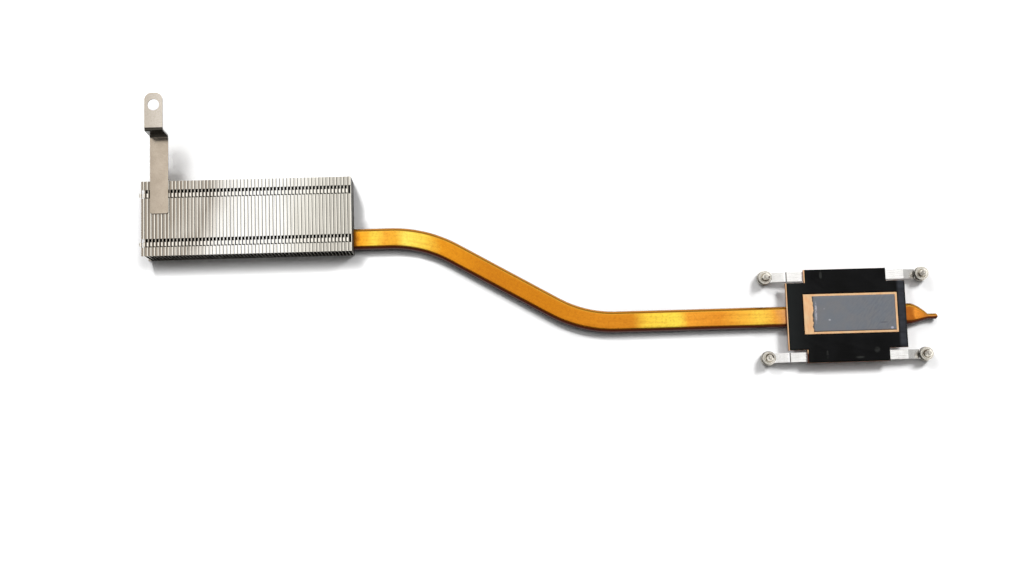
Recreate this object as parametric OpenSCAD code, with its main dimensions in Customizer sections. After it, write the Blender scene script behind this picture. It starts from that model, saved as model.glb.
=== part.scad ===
// Heatsink module of a laptop: a stack of folded fins, a bent flat heat pipe and a
// copper contact plate that four sprung screws pull against the processor.
// Origin: centre of the contact face, on top of its paste. +Z leaves that face,
// +X runs from the fins to the plate. Millimetres.

/* [Contact plate] */
// Length of the copper plate along X
plate_l = 38.6; // [34:0.1:46]
// Width of the copper plate along Y
plate_w = 30; // [26:0.1:36]
// Thickness of the copper plate
plate_t = 1.2; // [0.8:0.1:2]
// Plate centre to contact face centre, along X
plate_shift_x = 1.3; // [0:0.1:2]
// Plate centre to contact face centre, along Y
plate_shift_y = 0.6; // [0:0.1:2]
// Length of the cut-out at each corner, along X
notch_l = 6; // [4:0.1:7]
// Width of the cut-out at each corner, along Y
notch_w = 4.2; // [3.6:0.1:5]
// Length of the raised contact pad
pad_l = 30.3; // [24:0.1:32]
// Width of the raised contact pad
pad_w = 12.8; // [10:0.1:16]
// Height of the pad above the plate
pad_h = 0.4; // [0.2:0.05:0.8]
// Corner radius of the pad
pad_corner_r = 0.35; // [0.1:0.05:1]

/* [Paste and film] */
// Thickness of the printed paste layer
paste_t = 0.1; // [0.05:0.01:0.2]
// Bare copper left of the paste
paste_margin_left = 2.6; // [0.5:0.1:4]
// Bare copper on the other three sides of the paste
paste_margin = 0.65; // [0.3:0.05:2]
// Corner radius of the paste print
paste_corner_r = 0.6; // [0.2:0.1:1]
// Thickness of the black insulating film
film_t = 0.12; // [0.05:0.01:0.25]
// Bare rim of the plate left of the film
film_margin_left = 0.35; // [0.1:0.05:1]
// Bare rim of the plate on the film's other sides
film_margin = 0.02; // [0:0.02:0.5]
// Gap between the pad and the window in the film
film_window_gap = 0.05; // [0.05:0.05:0.5]

/* [Heat pipe] */
// Width of the flattened pipe
pipe_w = 6.9; // [5:0.1:9]
// Thickness of the flattened pipe
pipe_t = 2.8; // [2.4:0.1:4]
// Radius of the pipe's rounded long edges
pipe_side_r = 1.2; // [0.6:0.05:1.2]
// Pipe's centre line to contact face centre, along Y
pipe_shift_y = 0.5; // [0:0.1:2]
// Sideways distance between the two straight runs
pipe_offset = 29; // [20:0.1:40]
// Turn of the pipe at each bend, in degrees
bend_angle = 30; // [20:1:45]
// Bend radius on the pipe's centre line
bend_r = 40; // [25:1:50]
// Plate edge to the corner where the first bend's straights would meet
run_l = 65.4; // [50:0.1:90]
// Fin stack end to the corner of the second bend
fin_run_l = 22.5; // [18:0.1:40]
// Straight stretch of pipe that shows past the plate
tip_run_l = 1.9; // [1:0.1:4]
// Length of the drawn-down taper
taper_l = 5.7; // [4:0.1:8]
// Length of the sealed tail, with its round end
tail_l = 3.3; // [2:0.1:5]
// Diameter of the sealed tail
tail_d = 1.8; // [1.2:0.1:2.4]
// Sideways offset of the tail from the pipe's centre line
tail_shift = 1; // [0:0.1:1.5]
// Pipe's closed end to the far end of the fin stack
pipe_end_inset = 3; // [2:0.1:8]

/* [Cooling fins] */
// Number of fins
fin_count = 59; // [20:1:90]
// Distance from one fin to the next
fin_pitch = 1.12; // [1:0.01:1.6]
// Thickness of the fin sheet
fin_t = 0.2; // [0.15:0.01:0.25]
// Height of the fin stack
fin_h = 10.6; // [8:0.1:16]
// Depth of the fin stack along the air flow
fin_depth = 23.8; // [21:0.1:32]
// Inside radius of a fin's folds
fin_fold_r = 0.14; // [0.05:0.01:0.2]
// Gap between a fin's free edges and the next fin
fin_gap = 0.02; // [0.01:0.01:0.05]
// Front face of the stack to the pipe's centre line
pipe_inset = 4.8; // [4:0.1:8]
// Height of the pipe above the underside of the fins
pipe_lift = 0.3; // [0.25:0.05:1]
// Gap round the pipe in the fins, filled by solder
solder_gap = 0.04; // [0.02:0.01:0.1]

/* [Fin locks] */
// Stack face to the middle of its lock row
lock_inset = 4.1; // [3:0.1:6]
// Length of each lock window along Y
window_l = 2.7; // [2:0.1:3.5]
// Depth that a window cuts down into the fold
window_deep = 0.35; // [0.25:0.05:0.6]
// Width of the bridge that carries the tongue
bridge_w = 0.2; // [0.15:0.05:0.3]
// Width of each tongue along Y
tongue_w = 1.25; // [0.8:0.05:1.6]
// Reach of a tongue into the next fin's window
tongue_l = 0.6; // [0.5:0.05:0.7]
// Front end of a window to its tongue
tongue_inset = 0.32; // [0.2:0.02:0.6]
// Length of the hook bent down at the tongue's end
hook_l = 0.3; // [0.2:0.05:0.5]

/* [Leaf springs] */
// Width of each spring strip
spring_w = 3; // [2.4:0.1:3.4]
// Thickness of the spring strip
spring_t = 0.4; // [0.3:0.05:0.5]
// Drop of the spring's eyes below its middle
spring_drop = 0.8; // [0.4:0.1:1.2]
// Plate edge to the first bend of a spring arm
arm_bend_gap = 0.2; // [0:0.1:1]
// Screw axis to the second bend of a spring arm
eye_flat = 2.3; // [2.1:0.1:3]
// Diameter of the eye round each screw
eye_d = 4; // [3.6:0.1:5]
// Gap round the screw's shoulder in the eye
eye_gap = 0.2; // [0.1:0.05:0.4]
// Distance between the screws along X
screw_span_x = 51; // [49:0.1:60]
// Distance between the screws along Y
screw_span_y = 26; // [25:0.1:34]

/* [Captive screws] */
// Diameter of the thread
thread_d = 2; // [1.6:0.1:3]
// Diameter of the smooth shoulder
shoulder_d = 2.5; // [2.2:0.1:3.1]
// Diameter of the screw head
head_d = 4.6; // [4.2:0.1:6]
// Height of the screw head
head_h = 1.8; // [1.2:0.1:2.5]
// Radius of the head's lower rim
head_rim_r = 0.3; // [0.1:0.05:0.4]
// Length of thread above the retaining ring
thread_l = 2.85; // [2:0.05:5]
// Play between the head and the spring when pushed home
head_gap = 0.1; // [0.05:0.05:0.3]
// Free travel of each screw along its axis
screw_travel = 0.7; // [0.4:0.1:1.5]
// Gap left between ring and spring at the end of the travel
ring_stop_gap = 0.1; // [0.05:0.05:0.3]
// Depth of the cross recess
recess_deep = 1; // [0.6:0.1:1.2]
// Width of the cross recess's arms
recess_w = 0.5; // [0.4:0.05:0.7]

/* [Retaining rings] */
// Outer diameter of the ring
ring_d = 4.3; // [3.8:0.1:5]
// Thickness of the ring
ring_t = 0.4; // [0.3:0.05:0.6]
// Height of the raised hub on the ring
hub_h = 0.25; // [0.1:0.05:0.4]
// Diameter of the raised hub
hub_d = 3.3; // [2.6:0.1:3.4]
// Chamfer of the ring's upper edge
ring_edge = 0.12; // [0.05:0.01:0.2]
// Depth of the groove that holds the ring
groove_deep = 0.2; // [0.1:0.05:0.25]
// Running gap of the ring in its groove
ring_gap = 0.05; // [0.02:0.01:0.1]

/* [Fan bracket] */
// Width of the bracket strip
bracket_w = 5.7; // [5:0.1:8]
// Thickness of the bracket sheet
bracket_t = 0.5; // [0.3:0.05:0.8]
// Height of the ear above the strip
bracket_rise = 8.3; // [4:0.1:12]
// Inside radius of the bracket's bends
bracket_bend_r = 0.6; // [0.3:0.05:1]
// Far end of the fin stack to the middle of the bracket
bracket_inset = 5.75; // [4:0.05:12]
// Length of strip on top of the fins
bracket_grip = 10.4; // [8:0.1:16]
// Rear face of the fins to the bracket's first bend
bracket_reach = 13.8; // [8:0.1:20]
// Length of the flat ear
ear_l = 11; // [9:0.1:14]
// Diameter of the hole in the ear
ear_hole_d = 3.6; // [3:0.1:4.2]
// Centre of the hole to the end of the ear
ear_hole_inset = 3.9; // [3.2:0.1:5]
// Corner radius of the ear's end
ear_corner_r = 2.3; // [1:0.1:2.5]
// Corner radius of the strip's other end
strip_corner_r = 0.7; // [0.2:0.1:1.5]

/* [Hidden] */
$fn = 48;
// Extra length of cutting bodies, and overlap of pieces that fuse
e = 0.1;
cut = 1;
// Rings round each bend and along the taper, points round each ring
bend_n = 14;
taper_n = 8;
corner_n = 8;
ring_n = 4 * corner_n;
end_round = 0.6;

// Heights, down from the contact face
pad_z = -paste_t;
plate_z = pad_z - pad_h;
pipe_z = plate_z - plate_t;
fins_z = pipe_z - pipe_t - pipe_lift;
eye_z = pipe_z - spring_drop;
ring_z = eye_z + ring_stop_gap + screw_travel;
head_z = eye_z - spring_t - head_gap;

// Plan positions
plate_x0 = -plate_shift_x - plate_l / 2;
plate_x1 = plate_x0 + plate_l;
plate_y0 = -plate_shift_y - plate_w / 2;
plate_y1 = plate_y0 + plate_w;
screw_x = [-plate_shift_x - screw_span_x / 2, -plate_shift_x + screw_span_x / 2];
screw_y = [-plate_shift_y - screw_span_y / 2, -plate_shift_y + screw_span_y / 2];

// Pipe route: the corners where the straight runs would meet
pipe_y = -pipe_shift_y;
tangent_l = bend_r * tan(bend_angle / 2);
corner_a = plate_x0 - run_l;
corner_b = corner_a - pipe_offset / tan(bend_angle);
fin_pipe_y = pipe_y + pipe_offset;
taper_x = plate_x1 + tip_run_l;

// Fin stack
stack_x1 = corner_b - fin_run_l;
stack_x0 = stack_x1 - fin_count * fin_pitch;
stack_y0 = fin_pipe_y - pipe_inset;
stack_y1 = stack_y0 + fin_depth;
fold_r = fin_fold_r + fin_t;
flange_l = fin_pitch - fin_gap;
pipe_side = pipe_w / 2 + solder_gap;
pipe_roof = pipe_lift + pipe_t + solder_gap;
lock_rear = fin_depth - lock_inset;
lock_under = pipe_inset + pipe_side + window_l;

// Bracket
bracket_x = stack_x0 + bracket_inset;
bracket_l = bracket_grip + bracket_reach;
step_l = 2 * bracket_bend_r + bracket_t;
ear_end = bracket_l + step_l + ear_l;

// Quarter of a bent sheet's section: inside radius ri, sheet t, in quadrant sx, sy
module bend_section(ri, t, sx, sy) {
  ro = ri + t;
  intersection() {
    difference() {
      circle(ro);
      circle(ri);
    }
    translate([sx > 0 ? 0 : -ro, sy > 0 ? 0 : -ro])
      square(ro);
  }
}

// Rectangle with round corners, lower left corner at the origin
module round_rect(l, w, r) {
  translate([r, 0]) square([l - 2 * r, w]);
  translate([0, r]) square([l, w - 2 * r]);
  for (x = [r, l - r], y = [r, w - r])
    translate([x, y]) circle(r);
}

// Side view of a fin: a web with a flange folded to -X at top and bottom
module fin_section() {
  translate([-fin_t, fold_r]) square([fin_t, fin_h - 2 * fold_r]);
  translate([-fold_r, fin_h - fold_r]) bend_section(fin_fold_r, fin_t, 1, 1);
  translate([-fold_r, fold_r]) bend_section(fin_fold_r, fin_t, 1, -1);
  for (z = [0, fin_h - fin_t])
    translate([-flange_l, z]) square([flange_l - fold_r, fin_t]);
}

// Cut for the pipe: open below, with the pipe's round shoulders above
module pipe_slot_section() {
  r = pipe_side_r + solder_gap;
  translate([-pipe_side, -cut]) square([2 * pipe_side, cut + pipe_roof - r]);
  translate([r - pipe_side, -cut]) square([2 * (pipe_side - r), cut + pipe_roof]);
  for (s = [-1, 1])
    translate([s * (pipe_side - r), pipe_roof - r]) circle(r);
}

// Tongue of one lock, reaching -X out of the flange, hook turned down
module lock_tongue() {
  translate([-flange_l - tongue_l, 0, -fin_t])
    cube([tongue_l + bridge_w, tongue_w, fin_t]);
  translate([-flange_l - tongue_l, 0, -fin_t - hook_l])
    cube([fin_t, tongue_w, hook_l + fin_t]);
}

// Window of one lock, cut through the flange and its fold
module lock_window() {
  translate([bridge_w - flange_l, 0, -window_deep])
    cube([flange_l - bridge_w + cut, window_l, window_deep + cut]);
}

// One fin, its web's outer face at x = 0 and its front edge at y = 0
module fin() {
  color([0.78, 0.77, 0.74]) {
    difference() {
      translate([0, fin_depth, 0]) rotate([90, 0, 0])
        linear_extrude(fin_depth) fin_section();
      translate([-fin_pitch, pipe_inset, 0]) rotate([90, 0, 90])
        linear_extrude(fin_pitch + cut) pipe_slot_section();
      for (y = [lock_inset, lock_rear])
        translate([0, y - window_l / 2, fin_h]) lock_window();
      for (y = [lock_under, lock_rear])
        translate([0, y - window_l / 2, 0]) mirror([0, 0, 1]) lock_window();
    }
    for (y = [lock_inset, lock_rear])
      translate([0, y - window_l / 2 + tongue_inset, fin_h]) lock_tongue();
    for (y = [lock_under, lock_rear])
      translate([0, y - window_l / 2 + tongue_inset, 0]) mirror([0, 0, 1]) lock_tongue();
    // Lip folded over the pipe's flat top, where the solder holds
    translate([-flange_l, pipe_inset - pipe_side + pipe_side_r, pipe_roof])
      cube([flange_l - fin_t / 2, 2 * (pipe_side - pipe_side_r), fin_t]);
  }
}

// Fin number i, counted from the far end
module placed_fin(i) {
  translate([stack_x0 + (i + 1) * fin_pitch, stack_y0, fins_z]) fin();
}

module cooling_fins() {
  for (i = [1 : fin_count - 2])
    placed_fin(i);
}

module fin_far_end() {
  placed_fin(0);
}

module fin_near_end() {
  placed_fin(fin_count - 1);
}

// Point k of a section w wide and t thick with round corners, k from 0 to ring_n - 1
function section_point(w, t, k) =
  let (r = min(pipe_side_r, t / 2 - 0.02, w / 2 - 0.02),
       c = floor(k / corner_n),
       a = 90 * c + 90 * (k - c * corner_n) / (corner_n - 1),
       sx = c == 0 || c == 3 ? 1 : -1,
       sz = c < 2 ? 1 : -1)
  [sx * (w / 2 - r) + r * cos(a), sz * (t / 2 - r) + r * sin(a)];

// Stations of the pipe from its closed end to its tail:
// [x, y, heading, width, thickness]
function end_stations() =
  [for (s = [0 : 3])
    let (x = end_round * (1 - cos(30 * s)), d = end_round * (1 - sin(30 * s)))
    [stack_x0 + pipe_end_inset + x, fin_pipe_y, 0, pipe_w - 2 * d, pipe_t - 2 * d]];

// A bend turning clockwise (turn = -1) or back (turn = 1) round the centre [x, y]
function bend_stations(x, y, turn) =
  [for (i = [0 : bend_n])
    let (a = bend_angle * (turn < 0 ? i : bend_n - i) / bend_n)
    [x + (turn < 0 ? 1 : -1) * bend_r * sin(a),
     y + (turn < 0 ? 1 : -1) * bend_r * cos(a), -a, pipe_w, pipe_t]];

// The drawn-down taper, its outline falling ever faster towards the tail
function taper_stations() =
  [for (i = [0 : taper_n])
    let (s = i / taper_n)
    [taper_x + s * taper_l, pipe_y - tail_shift * s * s, 0,
     tail_d + (pipe_w - tail_d) * (1 - pow(s, 1.35)),
     tail_d + (pipe_t - tail_d) * (1 - s)]];

function tail_stations() =
  [for (i = [0 : 3])
    let (a = 25 * i)
    [taper_x + taper_l + tail_l - tail_d / 2 * (1 - sin(a)), pipe_y - tail_shift, 0,
     tail_d * cos(a), tail_d * cos(a)]];

// Closed skin through a ring of points at each station
module swept_pipe(stations) {
  n = len(stations);
  points = [for (st = stations, k = [0 : ring_n - 1])
    let (q = section_point(st[3], st[4], k))
    [st[0] - q[0] * sin(st[2]), st[1] + q[0] * cos(st[2]), q[1]]];
  sides = [for (i = [0 : n - 2], k = [0 : ring_n - 1])
    let (a = i * ring_n + k, b = i * ring_n + (k + 1) % ring_n)
    each [[a, b, b + ring_n], [a, b + ring_n, a + ring_n]]];
  ends = [[for (k = [ring_n - 1 : -1 : 0]) k],
          [for (k = [0 : ring_n - 1]) (n - 1) * ring_n + k]];
  polyhedron(points, concat(sides, ends), convexity = 6);
}

module heat_pipe() {
  color([0.85, 0.52, 0.13]) translate([0, 0, pipe_z - pipe_t / 2])
    swept_pipe(concat(
      end_stations(),
      bend_stations(corner_b - tangent_l, fin_pipe_y - bend_r, -1),
      bend_stations(corner_a + tangent_l, pipe_y + bend_r, 1),
      taper_stations(),
      tail_stations()));
}

// Plate outline: a rectangle with a cut-out at each corner
module plate_outline(l, w, nl, nw) {
  difference() {
    square([l, w]);
    for (x = [-cut, l - nl], y = [-cut, w - nw])
      translate([x, y]) square([nl + cut, nw + cut]);
  }
}

module base_plate() {
  color([0.87, 0.62, 0.48]) {
    translate([plate_x0, plate_y0, pipe_z])
      linear_extrude(plate_t) plate_outline(plate_l, plate_w, notch_l, notch_w);
    translate([-pad_l / 2, -pad_w / 2, plate_z - e])
      linear_extrude(pad_h + e) round_rect(pad_l, pad_w, pad_corner_r);
  }
}

module insulating_film() {
  color([0.1, 0.1, 0.1])
    translate([0, 0, plate_z]) linear_extrude(film_t)
      difference() {
        translate([plate_x0 + film_margin_left, plate_y0 + film_margin])
          plate_outline(plate_l - film_margin_left - film_margin,
                        plate_w - 2 * film_margin, notch_l, notch_w);
        translate([-pad_l / 2 - film_window_gap, -pad_w / 2 - film_window_gap])
          square([pad_l + 2 * film_window_gap, pad_w + 2 * film_window_gap]);
      }
}

module thermal_paste() {
  color([0.43, 0.44, 0.46])
    translate([paste_margin_left - pad_l / 2, paste_margin - pad_w / 2, pad_z])
      linear_extrude(paste_t)
        round_rect(pad_l - paste_margin_left - paste_margin,
                   pad_w - 2 * paste_margin, paste_corner_r);
}

// Side view of a leaf spring: flat under the plate, arms stepped down to the eyes
module spring_section() {
  a0 = screw_x[0] - eye_d;
  a1 = screw_x[0] + eye_flat;
  a2 = plate_x0 - arm_bend_gap;
  b2 = plate_x1 + arm_bend_gap;
  b1 = screw_x[1] - eye_flat;
  b0 = screw_x[1] + eye_d;
  d = -spring_drop;
  t = -spring_t;
  polygon([[a0, d], [a1, d], [a2, 0], [b2, 0], [b1, d], [b0, d],
           [b0, d + t], [b1, d + t], [b2, t], [a2, t], [a1, d + t], [a0, d + t]]);
}

// One leaf spring, on the line of two screws
module leaf_spring(y) {
  color([0.86, 0.86, 0.85])
    difference() {
      intersection() {
        translate([0, y + eye_d, pipe_z]) rotate([90, 0, 0])
          linear_extrude(2 * eye_d) spring_section();
        translate([0, 0, eye_z - spring_t - cut])
          linear_extrude(spring_drop + spring_t + 2 * cut) {
            translate([screw_x[0], y - spring_w / 2]) square([screw_span_x, spring_w]);
            for (x = screw_x)
              translate([x, y]) circle(d = eye_d);
          }
      }
      for (x = screw_x)
        translate([x, y, eye_z - spring_t - cut])
          cylinder(h = spring_t + 2 * cut, d = shoulder_d + 2 * eye_gap);
    }
}

module leaf_spring_front() {
  leaf_spring(screw_y[0]);
}

module leaf_spring_rear() {
  leaf_spring(screw_y[1]);
}

// Captive screw, head below the spring, thread upwards
module captive_screw(x, y) {
  groove_h = ring_t + hub_h + 2 * ring_gap;
  groove_z = ring_z - ring_gap;
  top_z = groove_z + groove_h;
  tip_r = thread_d / 4;
  color([0.7, 0.69, 0.66]) translate([x, y, 0])
    difference() {
      union() {
        // Head with a round lower rim
        translate([0, 0, head_z - head_h])
          rotate_extrude() {
            square([head_d / 2 - head_rim_r, head_h]);
            translate([0, head_rim_r]) square([head_d / 2, head_h - head_rim_r]);
            translate([head_d / 2 - head_rim_r, head_rim_r]) circle(head_rim_r);
          }
        translate([0, 0, head_z - e])
          cylinder(h = groove_z - head_z + e, d = shoulder_d);
        translate([0, 0, groove_z - e])
          cylinder(h = groove_h + 2 * e, d = thread_d - 2 * groove_deep);
        translate([0, 0, top_z])
          cylinder(h = thread_l - tip_r, d = thread_d);
        translate([0, 0, top_z + thread_l - tip_r])
          cylinder(h = tip_r, d1 = thread_d, d2 = thread_d - 2 * tip_r);
      }
      // Cross recess
      for (a = [0, 90])
        translate([0, 0, head_z - head_h - cut]) rotate([0, 0, a])
          translate([-head_d / 4, -recess_w / 2, 0])
            cube([head_d / 2, recess_w, recess_deep + cut]);
    }
}

// Retaining ring with a dished hub, running in the screw's groove
module retaining_ring(x, y) {
  bore_r = thread_d / 2 - groove_deep + ring_gap;
  ring_r = ring_d / 2;
  hub_r = hub_d / 2;
  hub_top = ring_t + hub_h;
  color([0.66, 0.65, 0.61]) translate([x, y, ring_z])
    rotate_extrude()
      polygon([[bore_r, 0], [ring_r, 0], [ring_r, ring_t - ring_edge],
               [ring_r - ring_edge, ring_t], [hub_r, ring_t], [hub_r, hub_top - hub_h / 2],
               [hub_r - hub_h / 2, hub_top], [hub_r - hub_h, hub_top],
               [bore_r, hub_top - hub_h / 2]]);
}

module screw_front_left() {
  captive_screw(screw_x[0], screw_y[0]);
}

module screw_front_right() {
  captive_screw(screw_x[1], screw_y[0]);
}

module screw_rear_left() {
  captive_screw(screw_x[0], screw_y[1]);
}

module screw_rear_right() {
  captive_screw(screw_x[1], screw_y[1]);
}

module ring_front_left() {
  retaining_ring(screw_x[0], screw_y[0]);
}

module ring_front_right() {
  retaining_ring(screw_x[1], screw_y[0]);
}

module ring_rear_left() {
  retaining_ring(screw_x[0], screw_y[1]);
}

module ring_rear_right() {
  retaining_ring(screw_x[1], screw_y[1]);
}

// Side view of the bracket: strip, riser and ear, bent from one sheet
module bracket_section() {
  ri = bracket_bend_r;
  t = bracket_t;
  square([bracket_l, t]);
  translate([bracket_l, t + ri]) bend_section(ri, t, 1, -1);
  translate([bracket_l + ri, t + ri]) square([t, bracket_rise - 2 * ri - t]);
  translate([bracket_l + step_l, bracket_rise - ri]) bend_section(ri, t, -1, 1);
  translate([bracket_l + step_l, bracket_rise]) square([ear_l, t]);
}

// Plan of the bracket: round corners at both ends
module bracket_plan() {
  translate([-bracket_w / 2, 0]) {
    round_rect(bracket_w, bracket_l, strip_corner_r);
    translate([0, bracket_l / 2])
      round_rect(bracket_w, ear_end - bracket_l / 2, ear_corner_r);
  }
  translate([-bracket_w / 2, bracket_l / 3]) square([bracket_w, bracket_l / 2]);
}

module fan_bracket() {
  color([0.75, 0.7, 0.64])
    translate([bracket_x, stack_y1 - bracket_grip, fins_z + fin_h])
      difference() {
        intersection() {
          translate([-bracket_w / 2, 0, 0]) rotate([90, 0, 90])
            linear_extrude(bracket_w) bracket_section();
          translate([0, 0, -cut])
            linear_extrude(bracket_rise + bracket_t + 2 * cut) bracket_plan();
        }
        translate([0, ear_end - ear_hole_inset, bracket_rise - cut])
          cylinder(h = bracket_t + 2 * cut, d = ear_hole_d);
      }
}

cooling_fins();
fin_far_end();
fin_near_end();
heat_pipe();
base_plate();
insulating_film();
thermal_paste();
leaf_spring_front();
leaf_spring_rear();
screw_front_left();
screw_front_right();
screw_rear_left();
screw_rear_right();
ring_front_left();
ring_front_right();
ring_rear_left();
ring_rear_right();
fan_bracket();
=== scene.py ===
"""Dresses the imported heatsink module: finishes, pressed film, printed paste, drawn pipe, rolled threads."""
import math

import bpy
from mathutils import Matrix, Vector, geometry, noise


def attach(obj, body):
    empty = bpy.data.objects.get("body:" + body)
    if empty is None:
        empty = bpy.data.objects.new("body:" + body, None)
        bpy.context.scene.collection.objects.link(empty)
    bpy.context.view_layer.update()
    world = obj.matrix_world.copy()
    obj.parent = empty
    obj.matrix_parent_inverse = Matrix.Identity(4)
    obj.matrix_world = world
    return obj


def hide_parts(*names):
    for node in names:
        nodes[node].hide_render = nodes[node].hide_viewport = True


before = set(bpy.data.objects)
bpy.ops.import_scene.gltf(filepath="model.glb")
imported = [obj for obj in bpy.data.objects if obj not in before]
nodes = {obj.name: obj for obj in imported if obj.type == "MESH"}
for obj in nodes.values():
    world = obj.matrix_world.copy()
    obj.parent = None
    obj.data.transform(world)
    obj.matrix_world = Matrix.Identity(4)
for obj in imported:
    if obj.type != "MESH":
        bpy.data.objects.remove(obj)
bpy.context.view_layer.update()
MM = 0.001


# ---------------------------------------------------------------- colours, nodes

def linear(code):
    """sRGB hex colour as linear RGBA."""
    values = [int(code[i:i + 2], 16) / 255 for i in (1, 3, 5)]
    return tuple(v / 12.92 if v <= 0.04045 else ((v + 0.055) / 1.055) ** 2.4 for v in values) + (1,)


def add(tree, kind, sockets=None, out=0, stops=None, **settings):
    """Adds a node, sets its properties, sets or links its inputs, and gives back output out.

    With out None it gives back all outputs. A hex colour turns linear on its way, and stops
    are the (place, hex colour) of a colour ramp. Sockets are called by number where that is
    clear: a Map Range takes value 0 from 1..2 to 3..4, and a Mix goes from 6 to 7 by 0.
    """
    node = tree.nodes.new("ShaderNode" + kind)
    for key, value in settings.items():
        setattr(node, key, value)
    for key, value in (sockets or {}).items():
        if isinstance(value, bpy.types.NodeSocket):
            tree.links.new(value, node.inputs[key])
        else:
            node.inputs[key].default_value = linear(value) if isinstance(value, str) else value
    if stops:
        elements = node.color_ramp.elements
        while len(elements) < len(stops):
            elements.new(0.5)
        for element, (place, colour) in zip(elements, stops):
            element.position = place
            element.color = linear(colour)
    return node.outputs if out is None else node.outputs[out]


# What a Mix node needs to mix colours
COLOURS = {"out": 2, "data_type": "RGBA"}


def new_material(name):
    """Empty node material and its tree; a finish function fills it."""
    material = bpy.data.materials.new(name)
    material.use_nodes = True
    material.node_tree.nodes.clear()
    return material, material.node_tree


def spot_mask(tree, place, x, y, half_x, half_y):
    """1 inside a soft ellipse round (x, y) in mm, 0 outside."""
    moved = add(tree, "VectorMath", {0: place, 1: (x * MM, y * MM, 0)}, operation="SUBTRACT")
    halves = (1 / (half_x * MM), 1 / (half_y * MM), 0)
    round_one = add(tree, "VectorMath", {0: moved, 1: halves}, operation="MULTIPLY")
    far = add(tree, "VectorMath", {0: round_one}, "Value", operation="LENGTH")
    return add(tree, "MapRange", {0: far, 1: 0.6, 2: 1.1, 3: 1, 4: 0})


# ---------------------------------------------------------------- finishes
# A noise's Scale is in cycles per metre, so 1000 is a grain of 1 mm. The real size of each
# is in its comment. A pattern is stretched along an axis by a Mapping's Scale below 1.

# The fin stack along x, as in the part's source, in mm
FIN_PITCH, FIN_COUNT, STACK_X0 = 1.12, 59, -224.8095


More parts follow.
